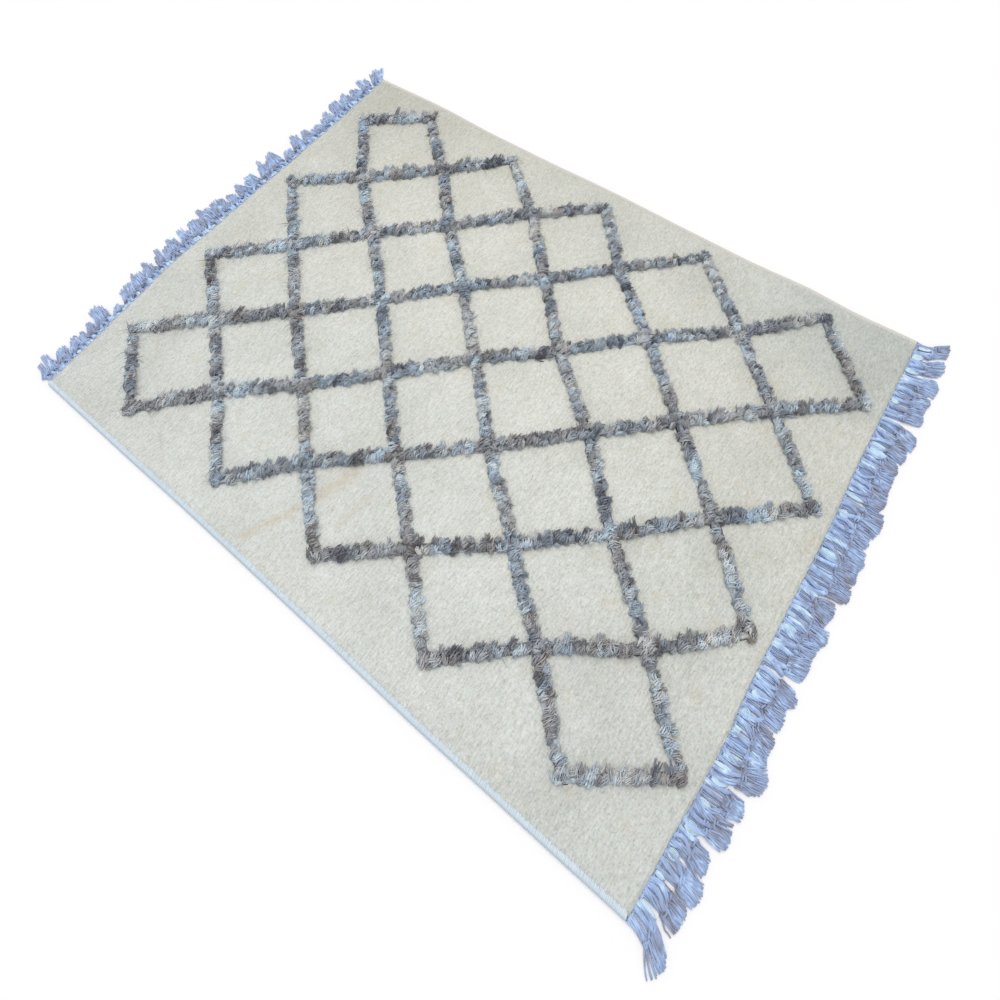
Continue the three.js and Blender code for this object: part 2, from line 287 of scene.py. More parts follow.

# Thick single-ply wool weft: matt and hairy, every two passes a soft rib that runs across the
# rug, in an undyed cream with a few dark burrs, greyed towards the ends and margins by painted
# shade. A noise's scale is its grains a metre: streaks are 3 by 14 mm, and the wool's grain is 5
# mm.
RIB_PITCH_MM = 9.2
WAVE_RADIANS_PER_M = 20.0
STREAKS_PER_M = (300.0, 70.0, 300.0)
GRAIN_PER_M = 210.0
BLOTCHES_PER_M = 6.0
STAINS_PER_M = 13.0
DYES_PER_M = 70.0
WORN_PATCHES_PER_M = 85.0
BURRS_PER_M = 120.0
DYE_SHARE = 0.035
weave, tree, shader = new_material("nubby_cream_wool_flatweave")
place = add(tree, "ShaderNodeTexCoord").outputs["Object"]
along_weft = add(tree, "ShaderNodeMapping", {"Vector": place, "Scale": STREAKS_PER_M}).outputs[0]
streaks, grain, blotches, stains, dyes, patchy, specks = [
    add(
        tree,
        "ShaderNodeTexNoise",
        {"Vector": where, "Scale": scale, "Detail": detail, "Roughness": rough},
    ).outputs
    for where, scale, detail, rough in (
        (along_weft, 1.0, 3.0, 0.65),
        (place, GRAIN_PER_M, 3.0, 0.7),
        (place, BLOTCHES_PER_M, 4.0, 0.6),
        (place, STAINS_PER_M, 4.0, 0.6),
        (place, DYES_PER_M, 2.0, 0.6),
        (place, WORN_PATCHES_PER_M, 2.0, 0.6),
        (place, BURRS_PER_M, 1.0, 0.5),
    )
]
mixed = add(tree, "ShaderNodeMath", {0: streaks["Fac"], 1: grain["Fac"]}, operation="ADD")
halved = add(tree, "ShaderNodeMath", {0: mixed.outputs[0], 1: 0.5}, operation="MULTIPLY")
warm_wool, cool_wool = [
    colours(tree, halved.outputs[0], zip((0.36, 0.45, 0.54, 0.66), tints))
    for tints in (
        ("#c4c3b7", "#d7d7cc", "#e4e4db", "#f2f3ee"),
        ("#c0c3bd", "#d3d7d3", "#e0e4e1", "#eff4f4"),
    )
]
cool, margin_shade, crease = [
    add(tree, "ShaderNodeAttribute", attribute_name=kept).outputs["Fac"]
    for kept in ("cool", "margin_shade", "crease")
]
wool = add(
    tree, "ShaderNodeMix", {"Factor": cool, 6: warm_wool, 7: cool_wool}, data_type="RGBA"
).outputs[2]
# Painted shade: the wool is multiplied greyer towards the ends and the far edge.
margin_shade_tint = colours(tree, margin_shade, [(0.0, "#ffffff"), (1.0, "#e1e2e1")])
broad = colours(tree, blotches["Fac"], [(0.3, "#f0f0ee"), (0.7, "#ffffff")])
for blend, share, layer in (
    ("MULTIPLY", 1.0, margin_shade_tint),
    ("MULTIPLY", 1.0, broad),
    ("LINEAR_LIGHT", DYE_SHARE, dyes["Color"]),
):
    wool = add(
        tree,
        "ShaderNodeMix",
        {"Factor": share, 6: wool, 7: layer},
        data_type="RGBA",
        blend_type=blend,
    ).outputs[2]
stain_mask, burr_mask = [
    add(
        tree,
        "ShaderNodeMapRange",
        {"Value": spots["Fac"], "From Min": low, "From Max": high, "To Max": most},
    ).outputs[0]
    for spots, low, high, most in ((stains, 0.58, 0.78, 0.30), (specks, 0.73, 0.78, 0.35))
]
broken = add(tree, "ShaderNodeMath", {0: crease, 1: patchy["Fac"]}, operation="MULTIPLY")
for mask, hex_code in (
    (stain_mask, "#cdbf97"),
    (broken.outputs[0], "#c6b697"),
    (burr_mask, "#8f8672"),
):
    wool = add(
        tree, "ShaderNodeMix", {"Factor": mask, 6: wool, 7: linear(hex_code)}, data_type="RGBA"
    ).outputs[2]
wefts = add(
    tree,
    "ShaderNodeTexWave",
    {
        "Vector": place,
        "Scale": 2 * math.pi * 1000.0 / RIB_PITCH_MM / WAVE_RADIANS_PER_M,
        "Distortion": 3.0,
        "Detail": 2.0,
        "Detail Scale": 3.0,
    },
    bands_direction="X",
)
relief = add(
    tree, "ShaderNodeMath", {0: wefts.outputs["Fac"], 1: mixed.outputs[0]}, operation="ADD"
)
bump = add(
    tree,
    "ShaderNodeBump",
    {"Height": relief.outputs[0], "Strength": 0.42, "Distance": 0.0012},
)
tree.links.new(wool, shader.inputs["Base Color"])
tree.links.new(bump.outputs[0], shader.inputs["Normal"])
shader.inputs["Roughness"].default_value = 0.95
shader.inputs["Sheen Weight"].default_value = 0.12
ground.data.materials.append(weave)
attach(ground, "root")
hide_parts("ground_weave")


# The pile lattice: soft lengths of thick grey roving knotted in rows along the ridges. Each lock
# is a loose bundle of wisps that lies over the ridge towards the far side and frays at its tip.
LOCKS = 5100
LOCK_PIECES = 4
WISPS_PER_LOCK = 5
LOCK_RINGS = 4
LOCK_LENGTH = (0.015, 0.028)
LOCK_HALF_WIDTH = 0.0048
LOCK_HALF_HEIGHT = 0.0021
LOCK_SPREAD = (0.55, 0.9, 1.0, 1.0)
WISP_RADII = (0.0012, 0.0017, 0.0016, 0.0008)
WISP_PARTING = 0.0026
# Painted shade and light along each lock: darker at the root, lighter towards the tip.
ROOT_SHADE_TO_TIP_LIGHT = (-0.04, 0.0, 0.02, 0.04)
LOCK_ROOT_DEPTH = 0.003
LOCK_RISE = 0.0020
LOCK_LIFT = (0.0, 0.0020)
LIFT_ALONG = (0.9, 1.0, 0.6)
LOCK_BEND = 0.0014
ROOTED_BACK = 0.4
WISP_REACH = (-0.0035, 0.0030)
WEFT_SHARE = 0.75
LAY_SPREAD_DEG = 24
TURNED_BACK = 0.17
BACK_OVERHANG = 0.35
FAR_CORNER_TUFTS = 0.7
# In each pair, the first value is for ridges where y grows with x, and the second for the rest.
OVERHANG = {"right": (1.05, 0.55), "left": (1.5, 0.40)}
FOOT_REACH = {"right": (0.002, 0.003), "left": (0.010, 0.004)}
# Painted shade and light: the roving on each ridge is drawn darker or lighter by its run, and
# lighter where its flank faces the near side, against the shade there.
PAINTED_SHADE_BY_RUN = {"right": (-0.12, 0.01), "left": (-0.03, 0.01)}
NEAR_FLANK_PAINTED_LIGHT = 0.13
HAIRY = {"right": (0.35, 0.12), "left": (1.0, 0.55)}
BROWN_LOCKS = 0.006
BROWN_WISPS = 0.010
YARN_BAND = 0.034
YARN_THREAD = 0.012
BAND_RUN = 0.15
BROAD_PATCH = (0.045, 0.06)
FINE_PATCH = (0.014, 0.020)
HUE_PATCH = (0.016, 0.024)
WISP_TONE_CHANCE = 0.06
CORE_INSET = 0.0048
# Painted shade: the core between the locks is drawn a little darker.
CORE_PAINTED_SHADE = -0.04
STRAY_HAIRS = 8500
STRAY_LENGTH = (0.010, 0.019)
STRAY_RISE = (0.001, 0.006)
STRAY_DIP = (-0.004, 0.006)
STRAY_RADII = (0.0007, 0.0006, 0.0003)
STRAY_TOP = 0.0310


def tube_faces(count, rings, sides):
    """Quads round each of many tubes, and a flat cap at both ends of each."""
    side = np.arange(sides)
    turn = np.roll(side, -1)
    base = np.arange(rings - 1)[:, None] * sides
    quads = np.stack([base + side, base + turn, base + sides + turn, base + sides + side], -1)
    start = np.arange(count)[:, None, None] * rings * sides
    quads = (quads.reshape(1, -1, 4) + start).reshape(-1, 4)
    caps = np.stack([side[::-1], side + (rings - 1) * sides])
    caps = (caps.reshape(1, 2, sides) + start).reshape(-1, sides)
    return quads, caps


def yarns(name, paths, radii, sides, **kept):
    """One mesh of many yarns: paths (yarn, ring, xyz), radii and kept numbers (yarn, ring)."""
    count, rings, _ = paths.shape
    heading = np.gradient(paths, axis=1)
    heading /= np.linalg.norm(heading, axis=2, keepdims=True) + 1e-12
    up = np.where(np.abs(heading[..., 2:]) > 0.9, [[[1.0, 0.0, 0.0]]], [[[0.0, 0.0, 1.0]]])
    across = np.cross(up, heading)
    across /= np.linalg.norm(across, axis=2, keepdims=True) + 1e-12
    rise = np.cross(heading, across)
    turn = (np.arange(sides) + 0.5) * 2 * math.pi / sides
    round_it = across[:, :, None] * np.cos(turn)[:, None] + rise[:, :, None] * np.sin(turn)[:, None]
    points = (paths[:, :, None] + round_it * radii[:, :, None, None]).reshape(-1, 3)
    quads, caps = tube_faces(count, rings, sides)
    mesh = bpy.data.meshes.new(name)
    mesh.vertices.add(len(points))
    mesh.vertices.foreach_set("co", points.astype(np.float32).ravel())
    corners = np.concatenate([quads.ravel(), caps.ravel()]).astype(np.int32)
    sizes = np.concatenate([np.full(len(quads), 4), np.full(len(caps), sides)])
    mesh.loops.add(len(corners))
    mesh.loops.foreach_set("vertex_index", corners)
    mesh.polygons.add(len(sizes))
    starts = np.concatenate([[0], np.cumsum(sizes)[:-1]]).astype(np.int32)
    mesh.polygons.foreach_set("loop_start", starts)
    mesh.update(calc_edges=True)
    mesh.validate()
    for key, values in kept.items():
        store(mesh, key, np.repeat(np.broadcast_to(values, (count, rings)).ravel(), sides))
    made = bpy.data.objects.new(name, mesh)
    bpy.context.scene.collection.objects.link(made)
    return made


def scatter(node, count, rng):
    """Points and normals spread evenly over the upper faces of a CAD node."""
    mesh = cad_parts[node].data
    mesh.calc_loop_triangles()
    points = points_of(node)
    triangles = np.array([t.vertices for t in mesh.loop_triangles])
    a, b, c = points[triangles[:, 0]], points[triangles[:, 1]], points[triangles[:, 2]]
    normal = np.cross(b - a, c - a)
    area = np.linalg.norm(normal, axis=1)
    normal /= area[:, None] + 1e-15
    area[normal[:, 2] < -0.2] = 0
    share = np.cumsum(area) / area.sum()
    even = (np.arange(count) + rng.random(count)) / count
    pick = np.minimum(np.searchsorted(share, even), len(share) - 1)
    s, t = rng.random((2, count, 1))
    s, t = np.where(s + t > 1, 1 - s, s), np.where(s + t > 1, 1 - t, t)
    return a[pick] + s * (b[pick] - a[pick]) + t * (c[pick] - a[pick]), normal[pick]


def drawn_in(node, name, inset):
    """A copy of a CAD node, with its doubles merged, drawn in from its sides and top."""
    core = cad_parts[node].copy()
    core.data = core.data.copy()
    core.name = name
    core.parent = None
    bpy.context.scene.collection.objects.link(core)
    core.data.materials.clear()
    select_only(core)
    bpy.ops.object.mode_set(mode="EDIT")
    bpy.ops.mesh.select_all(action="SELECT")
    bpy.ops.mesh.remove_doubles(threshold=0.00002)
    bpy.ops.object.mode_set(mode="OBJECT")
    points = np.array([p.co for p in core.data.vertices], float)
    normals = np.array([p.normal for p in core.data.vertices], float)
    points[:, :2] -= normals[:, :2] * inset
    points[:, 2] -= np.clip(normals[:, 2], 0, 1) * inset
    set_points(core.data, points)
    settle(core)
    return core


def yarn_tone(spots, rng):
    """The tone of the roving at each spot: bands of rows, single threads and a little chance."""
    tone = np.empty(len(spots))
    warm = np.empty(len(spots))
    for i, (a, b, _) in enumerate(spots):
        stray = noise.noise((a * 26, b * 26, 1.0))
        band = noise.cell((a / YARN_BAND + stray, b / BAND_RUN + stray, 0.5))
        thread = noise.cell((a / YARN_THREAD + 0.6 * stray, b / BAND_RUN + stray, 7.5))
        broad = noise.noise((a / BROAD_PATCH[0], b / BROAD_PATCH[1], 5.0))
        mottle = noise.noise((a / FINE_PATCH[0], b / FINE_PATCH[1], 9.0))
        hue = noise.noise((a / HUE_PATCH[0], b / HUE_PATCH[1], 6.0))
        tone[i] = 0.50 + 0.16 * band + 0.12 * thread + 0.50 * broad + 0.42 * mottle
        warm[i] = 0.46 + 0.40 * noise.cell((a / YARN_BAND + stray, b / BAND_RUN, 3.5)) + 0.5 * hue
    return tone + 0.05 * rng.standard_normal(len(spots)), np.clip(warm, 0, 0.88)


def painted_light_and_shade(spots, outward):
    """How much lighter or darker the roving is drawn, as painted light and shade: by its ridge's
    run, and lighter on flanks that face the near side.
    """
    runs_up = outward[:, 0] * outward[:, 1] < 0
    near = np.clip(-outward[:, 1] / 0.6, 0, 1)
    return by_place(PAINTED_SHADE_BY_RUN, runs_up, leftness(spots)) + NEAR_FLANK_PAINTED_LIGHT * near


pile_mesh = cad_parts["pile_lattice"].data
lattice = BVHTree.FromPolygons(
    [v.co for v in pile_mesh.vertices], [list(p.vertices) for p in pile_mesh.polygons]
)


def lie_of_pile(spots):
    """The height of the ridge under each spot, or of the cloth, and whether a ridge is there."""
    heights = np.full(len(spots), ground_top)
    for i, (a, b) in enumerate(spots[:, :2]):
        hit = lattice.ray_cast((a, b, 0.1), (0, 0, -1), 0.1)[0]
        if hit is not None:
            heights[i] = hit.z
    return heights, heights > ground_top + 0.0005


def lay_of(outward, spread_deg, rng):
    """The way each lock lies: mostly straight towards the far side, a little across its ridge."""
    across = outward[:, :2] * np.where(outward[:, 1:2] < 0, -1, 1)
    across /= np.linalg.norm(across, axis=1, keepdims=True) + 1e-9
    lay = across * (1 - WEFT_SHARE) + np.array([0, WEFT_SHARE])
    chance = rng.normal(0, math.radians(spread_deg), len(outward))
    angle = np.arctan2(lay[:, 1], lay[:, 0]) + chance
    angle += np.where(rng.random(len(outward)) < TURNED_BACK, math.pi, 0)
    return np.stack([np.cos(angle), np.sin(angle)], 1)


def leftness(spots):
    """How far towards the left end each spot lies, where the pile is longer and looser."""
    return np.clip((0.2 - spots[:, 0]) / 1.0, 0, 1)


def by_place(table, runs_up, left):
    """A value for each lock, from its ridge's run and how far to the left it lies."""
    right_value = np.where(runs_up, *table["right"])
    return right_value + (np.where(runs_up, *table["left"]) - right_value) * left


def lay_locks(count, rng):
    """The paths of the locks: over the ridge along their lay, then out over the cloth."""
    spots, outward = scatter("pile_lattice", count, rng)
    order = np.argsort(spots[:, 0])
    spots, outward = spots[order], outward[order]
    runs_up = outward[:, 0] * outward[:, 1] < 0
    lay = lay_of(outward, LAY_SPREAD_DEG, rng)
    bend = rng.normal(0, LOCK_BEND, (count, 1)) * np.stack([-lay[:, 1], lay[:, 0]], 1)
    length = rng.uniform(*LOCK_LENGTH, count)
    root = spots[:, :2] - lay * length[:, None] * ROOTED_BACK
    _, held = lie_of_pile(root)
    left = leftness(spots)
    foot_reach = by_place(FOOT_REACH, runs_up, left) * rng.uniform(-0.2, 1, count)
    foot = spots[:, :2] - lay * foot_reach[:, None]
    root = np.where(held[:, None], root, foot)
    lift = rng.uniform(*LOCK_LIFT, count)
    loose = by_place(OVERHANG, runs_up, left) * rng.uniform(0.75, 1.2, count)
    loose = np.where(lay[:, 1] < 0, BACK_OVERHANG * loose, loose)
    loose = loose * (1 + FAR_CORNER_TUFTS * left * eased(spots[:, 1], 0.1, 0.6))
    here = root
    surface, held = lie_of_pile(root)
    level = np.where(held, surface - LOCK_ROOT_DEPTH, ground_top + 0.0008)
    path = [np.column_stack([here, level])]
    for ring in range(1, LOCK_RINGS):
        step = length / (LOCK_RINGS - 1)
        _, held = lie_of_pile(here + lay * step[:, None])
        step = np.where(held, step, step * loose)
        here = here + lay * step[:, None] + bend * math.cos(ring * 1.1)
        surface, _ = lie_of_pile(here)
        resting = surface + LOCK_RISE + lift * LIFT_ALONG[ring - 1]
        level = np.maximum(resting, level - step * 0.75)
        path.append(np.column_stack([here, level]))
    return np.stack(path, 1), lay, spots, outward


def part_into_wisps(path, lay, rng):
    """Each lock's path drawn out into wisps round it, which part a little at the tip."""
    count = len(path)
    turn = 2 * math.pi * np.arange(WISPS_PER_LOCK) / WISPS_PER_LOCK
    angle = turn + rng.uniform(0, 2 * math.pi, (count, 1))
    twist = rng.uniform(0.2, 0.8, (count, 1, 1)) * np.arange(LOCK_RINGS)
    angle = angle[:, :, None] + twist
    spread = np.array(LOCK_SPREAD)
    wide = LOCK_HALF_WIDTH * rng.uniform(0.75, 1.2, (count, 1, 1)) * spread
    side = np.concatenate([-lay[:, 1:], lay[:, :1], np.zeros((count, 1))], 1)
    along = np.concatenate([lay, np.zeros((count, 1))], 1)
    out = (wide * np.cos(angle))[..., None] * side[:, None, None]
    wisps = path[:, None] + out
    wisps[..., 2] += LOCK_HALF_HEIGHT * spread * np.sin(angle)
    fray = np.linspace(0, 1, LOCK_RINGS)[:, None]
    parting = rng.normal(0, WISP_PARTING, (count, WISPS_PER_LOCK, 1, 1))
    wisps = wisps + parting * fray * side[:, None, None]
    reach = rng.uniform(*WISP_REACH, (count, WISPS_PER_LOCK, 1, 1))
    return wisps + reach * fray * along[:, None, None]


def stray_hairs(count, rng):
    """Single hairs that stand out of the locks and reach over the cloth, most at the left."""
    spots, outward = scatter("pile_lattice", count, rng)
    runs_up = outward[:, 0] * outward[:, 1] < 0
    kept = rng.random(count) < by_place(HAIRY, runs_up, leftness(spots))
    spots, outward = spots[kept], outward[kept]
    lay = lay_of(outward, 2 * LAY_SPREAD_DEG, rng)
    length = rng.uniform(*STRAY_LENGTH, len(spots)) * (1 + 0.8 * leftness(spots))
    way = np.array([0, 0.5, 1.0])
    flat = spots[:, None, :2] + lay[:, None] * (length[:, None] * way)[..., None]
    start = spots[:, 2] + 0.0015
    rise = rng.uniform(*STRAY_RISE, len(spots))
    dip = rng.uniform(*STRAY_DIP, len(spots))
    high = np.stack([start, start + rise, start + dip], 1)
    high = np.clip(high, ground_top + 0.0006, STRAY_TOP)
    return np.concatenate([flat, high[..., None]], 2), spots


def roving(name, stops, grain, mottle, rough):
    """Matt grey hand-spun wool: a soft hairy halo and no gloss, its tone kept on each lock."""
    made, tree, shader = new_material(name)
    tone = add(tree, "ShaderNodeAttribute", attribute_name="tone")
    warm = add(tree, "ShaderNodeAttribute", attribute_name="warm")
    place = add(tree, "ShaderNodeTexCoord").outputs["Object"]
    hair = add(
        tree,
        "ShaderNodeTexNoise",
        {"Vector": place, "Scale": grain, "Detail": 2.0, "Roughness": 0.6},
    )
    spread = add(
        tree,
        "ShaderNodeMath",
        {0: hair.outputs["Fac"], 1: mottle, 2: -mottle / 2},
        operation="MULTIPLY_ADD",
    )
    total = add(
        tree, "ShaderNodeMath", {0: tone.outputs["Fac"], 1: spread.outputs[0]}, operation="ADD"
    )
    fleece = colours(tree, warm.outputs["Fac"], FLEECE_TINTS)
    dyed = add(
        tree,
        "ShaderNodeMix",
        {"Factor": 1.0, 6: colours(tree, total.outputs[0], stops), 7: fleece},
        data_type="RGBA",
        blend_type="MULTIPLY",
    )
    tree.links.new(dyed.outputs[2], shader.inputs["Base Color"])
    bump = add(
        tree,
        "ShaderNodeBump",
        {"Height": hair.outputs["Fac"], "Strength": rough, "Distance": 0.0014},
    )
    tree.links.new(bump.outputs[0], shader.inputs["Normal"])
    shader.inputs["Roughness"].default_value = 1.0
    shader.inputs["Sheen Weight"].default_value = 0.3
    return made


FLEECE_TINTS = [
    (0.00, "#deebf9"),
    (0.25, "#f2f9ff"),
    (0.60, "#fffcfb"),
    (0.90, "#fbefe6"),
    (1.00, "#dcc4b2"),
]
PILE_STOPS = [
    (0.05, "#60636c"),
    (0.28, "#93979e"),
    (0.46, "#adb2b9"),
    (0.62, "#c1c8cf"),
    (0.80, "#d3e0e8"),
    (0.97, "#e4f0f6"),
]
pile_wool = roving("mixed_grey_hand_spun_roving", PILE_STOPS, 300.0, 0.14, 0.12)
knot_wool = roving("mixed_grey_roving_in_tight_knots", PILE_STOPS, 150.0, 1.1, 1.0)
core = drawn_in("pile_lattice", "pile_core", CORE_INSET)
rng = np.random.default_rng(21)
core_spots = np.array([p.co for p in core.data.vertices], float)
core_outward = np.array([p.normal for p in core.data.vertices], float)
core_tone, core_warm = yarn_tone(core_spots, rng)
store(core.data, "tone", core_tone + CORE_PAINTED_SHADE + painted_light_and_shade(core_spots, core_outward))
store(core.data, "warm", core_warm)
core.data.materials.append(knot_wool)
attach(core, "root")
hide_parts("pile_lattice")

lock_paths, lock_lay, lock_spots, lock_outward = lay_locks(LOCKS, rng)
lock_tone, lock_warm = yarn_tone(lock_spots, rng)
lock_tone = lock_tone + painted_light_and_shade(lock_spots, lock_outward)
lock_warm = np.where(rng.random(LOCKS) < BROWN_LOCKS, 1.0, lock_warm)
wisp_paths = part_into_wisps(lock_paths, lock_lay, rng)
wisp_radii = np.array(WISP_RADII) * rng.uniform(0.8, 1.2, (LOCKS, WISPS_PER_LOCK, 1))
wisp_chance = WISP_TONE_CHANCE * rng.standard_normal((LOCKS, WISPS_PER_LOCK, 1))
wisp_tone = lock_tone[:, None, None] + wisp_chance + np.array(ROOT_SHADE_TO_TIP_LIGHT)
brown = rng.random((LOCKS, WISPS_PER_LOCK, 1)) < BROWN_WISPS
wisp_warm = np.where(brown, 1.0, lock_warm[:, None, None]) * np.ones(LOCK_RINGS)
pile_pieces = [core]
for part, chosen in enumerate(np.array_split(np.arange(LOCKS), LOCK_PIECES)):
    locks = yarns(
        f"pile_locks_{part + 1}",
        wisp_paths[chosen].reshape(-1, LOCK_RINGS, 3),
        wisp_radii[chosen].reshape(-1, LOCK_RINGS),
        3,
        tone=wisp_tone[chosen].reshape(-1, LOCK_RINGS),
        warm=wisp_warm[chosen].reshape(-1, LOCK_RINGS),
    )
    pile_pieces.append(locks)
hair_paths, hair_spots = stray_hairs(STRAY_HAIRS, rng)
hair_tone, hair_warm = yarn_tone(hair_spots, rng)
hair_radii = np.array(STRAY_RADII) * (1 + 0.4 * leftness(hair_spots)[:, None])
pile_pieces.append(
    yarns(
        "pile_stray_hairs",
        hair_paths,
        hair_radii,
        3,
        tone=hair_tone[:, None] + 0.05,
        warm=hair_warm[:, None],
    )
)
for piece in pile_pieces[1:]:
    piece.data.materials.append(pile_wool)
    settle(piece)
    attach(piece, "root")


# The selvedges: the outer warps of each long edge overcast with slanting stitches of yarn that
# bite into the cloth. The near one is pale and the far is cream; painted shade greys each stitch
# round its outer underside, blue-grey on the near one.
STITCH_ANGLES_DEG = (125, 85, 45, 5, -35, -70)
SELVEDGE_YARNS = {
    "near": {"pitch": 0.0035, "radius": 0.0023, "bite": 0.0052},
    "far": {"pitch": 0.0035, "radius": 0.0021, "bite": 0.0050},
}
STITCH_ROOT_DEPTH = 0.0022
STITCH_ENTRY = 0.0040
STITCH_ENTRY_DEPTH = 0.0006
HELD_WARP_POINTS = 60


def edge_profile(node, along):
    """The inner and outer lines and the height of a selvedge's solid, at places along it."""
    points = points_of(node)
    foot = points[points[:, 2] < 0.00001]
    rows = []
    for place in np.unique(foot[:, 0].round(3)):
        row = foot[np.abs(foot[:, 0] - place) < 0.004]
        rows.append((place, row[:, 1].min(), row[:, 1].max()))
    rows = np.array(rows)
    low = np.interp(along, rows[:, 0], rows[:, 1])
    high = np.interp(along, rows[:, 0], rows[:, 2])
    return low, high, points[:, 2].max()


def overcast(name, node, side, yarn, rng):
    """The stitches round one long edge, and the bundle of warps that they hold."""
    box_low, box_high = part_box(node)
    pitch, radius = yarn["pitch"], yarn["radius"]
    along = np.arange(box_low[0] + 0.003, box_high[0] - 0.003, pitch)
    along = along + rng.normal(0, pitch * 0.08, len(along))
    low, high, tall = edge_profile(node, along)
    inner, outer = (high, low) if side < 0 else (low, high)
    middle, half = (inner + outer) / 2, np.abs(outer - inner) / 2
    half = half * rng.uniform(0.88, 1.0, len(along)) - radius * 0.8
    bite = inner - side * (yarn["bite"] + rng.normal(0, 0.0009, len(along)))
    flat = np.ones(len(along))
    path = [np.stack([along, bite, flat * (ground_top - STITCH_ROOT_DEPTH)], 1)]
    entry = bite + side * STITCH_ENTRY
    path.append(np.stack([along, entry, flat * (ground_top - STITCH_ENTRY_DEPTH)], 1))
    reach = tall / 2 - radius * 0.75
    for degrees in STITCH_ANGLES_DEG:
        turn = math.radians(degrees)
        y = middle + side * half * math.cos(turn)
        path.append(np.stack([along, y, flat * (tall / 2 + reach * math.sin(turn))], 1))
    path = np.stack(path, 1)
    slant = np.linspace(-0.5, 0.9, path.shape[1]) * pitch
    path[:, :, 0] += slant
    radii = radius * rng.uniform(0.92, 1.1, (len(along), 1)) * np.ones(path.shape[1])
    path[:, :, 2] = np.maximum(path[:, :, 2], radii)
    # Painted shade: each stitch's colour runs from its own tint to a greyer one round its outer
    # underside.
    toward_shaded_underside = np.linspace(0, 1, path.shape[1])[None]
    stitches = yarns(name, path, radii, 5, outer=toward_shaded_underside, tone=rng.uniform(0, 1, (len(along), 1)))
    ends = np.linspace(box_low[0] + 0.004, box_high[0] - 0.004, HELD_WARP_POINTS)
    low, high, _ = edge_profile(node, ends)
    seam = high if side < 0 else low
    middle = np.full(HELD_WARP_POINTS, tall * 0.48)
    bundle = np.stack([ends, seam + side * 0.0030, middle], 1)[None]
    thick = np.full((1, HELD_WARP_POINTS), tall * 0.38)
    warps = yarns(f"{name}_warps", bundle, thick, 10, outer=0.2, tone=0.2)
    return [stitches, warps]


def overcasting(name, top, under, dark):
    """Soft cotton yarn: matt, each stitch its own tone, with painted shade greying it round its
    underside.
    """
    made, tree, shader = new_material(name)
    outer = add(tree, "ShaderNodeAttribute", attribute_name="outer")
    tone = add(tree, "ShaderNodeAttribute", attribute_name="tone")
    place = add(tree, "ShaderNodeTexCoord").outputs["Object"]
    lint = add(tree, "ShaderNodeTexNoise", {"Vector": place, "Scale": 300.0, "Detail": 2.0})
    soiled = add(tree, "ShaderNodeTexNoise", {"Vector": place, "Scale": 22.0, "Detail": 3.0})
    body = colours(tree, outer.outputs["Fac"], [(0.25, top), (0.72, under)])
    uneven = add(
        tree,
        "ShaderNodeMath",
        {0: tone.outputs["Fac"], 1: soiled.outputs["Fac"]},
        operation="MULTIPLY",
    )
    stitched = add(
        tree,
        "ShaderNodeMix",
        {"Factor": uneven.outputs[0], 6: body, 7: linear(dark)},
        data_type="RGBA",
    )
    tree.links.new(stitched.outputs[2], shader.inputs["Base Color"])
    bump = add(
        tree,
        "ShaderNodeBump",
        {"Height": lint.outputs["Fac"], "Strength": 0.5, "Distance": 0.0006},
    )
    tree.links.new(bump.outputs[0], shader.inputs["Normal"])
    shader.inputs["Roughness"].default_value = 0.93
    shader.inputs["Sheen Weight"].default_value = 0.15
    return made


pale_yarn = overcasting("pale_blue_white_cotton_overcasting", "#dbe7f0", "#b0c3d3", "#c9d7e1")
cream_yarn = overcasting("cream_wool_overcasting", "#deded9", "#d8d8d3", "#d6d6cf")
for end_name, side, slot_name, finish in (
    ("near", -1, "pale_overcasting", pale_yarn),
    ("far", 1, "cream_overcasting", cream_yarn),
):
    name, node, yarn = f"{end_name}_selvedge", f"selvedge_{end_name}", SELVEDGE_YARNS[end_name]
    for piece in overcast(name, node, side, yarn, np.random.default_rng(40 + side)):
        piece.data.materials.append(finish)
        settle(piece)
        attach(piece, "root")
    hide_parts(node)


# The fringes: the rug's own warps, drawn out in slack cords of a few yarns, knotted three cords
# together and cut to soft brushes. They lean and end as unevenly as the solids do.
BUNDLES_PER_END = 30
CORDS_PER_BUNDLE = 3
CLOTH_WIDTH = 1.5
CLOTH_LENGTH = 1.955
BUNDLE_PITCH = CLOTH_WIDTH / BUNDLES_PER_END
CORD_PITCH = BUNDLE_PITCH / CORDS_PER_BUNDLE
END_SLANT = math.tan(math.radians(-0.7))
YARNS_PER_CORD = 5
YARN_RADIUS = 0.0022
CORD_HALF_WIDTH = 0.0033
CORD_HALF_HEIGHT = 0.0022
CORD_MIDDLE = 0.0046
CORD_LOWEST = 0.0028
CORD_BOW = 0.0042
CORD_TONE = (0.34, 0.70)
KNOT_HALF_WIDTH = 0.0058
KNOT_HALF_HEIGHT = 0.0032
KNOT_MIDDLE = 0.0054
KNOT_TURNS = 1.3
KNOT_TONE = (0.05, 0.50)
YARNS_PER_BRUSH = 13
BRUSH_LAYERS = (0.0022, 0.0075)
BRUSH_LOWEST = 0.0019
PALE_BRUSH_YARNS = 0.10
CORNER_FAN_FROM = 0.70
BED_PER_BUNDLE = 13
BED_LAYERS = (0.0018, 0.0032)
BED_TONE = (0.35, 0.70)
WARPS_PER_GAP = 9
GAP_LAYERS = (0.0060, 0.0076)
FIRST_GAPS = 0.70
SECOND_GAPS = 0.50
TWINE_PITCH = 0.0125
TWINE_HALF_LENGTH = 0.7440
TWINE_POINTS = 320
MOTTLE_SIZE = 0.010
MOTTLE_SHARE = 0.48
PATCH_SIZE = 0.030
PATCH_SHARE = 0.34
LEAN_CURVE = 1.4
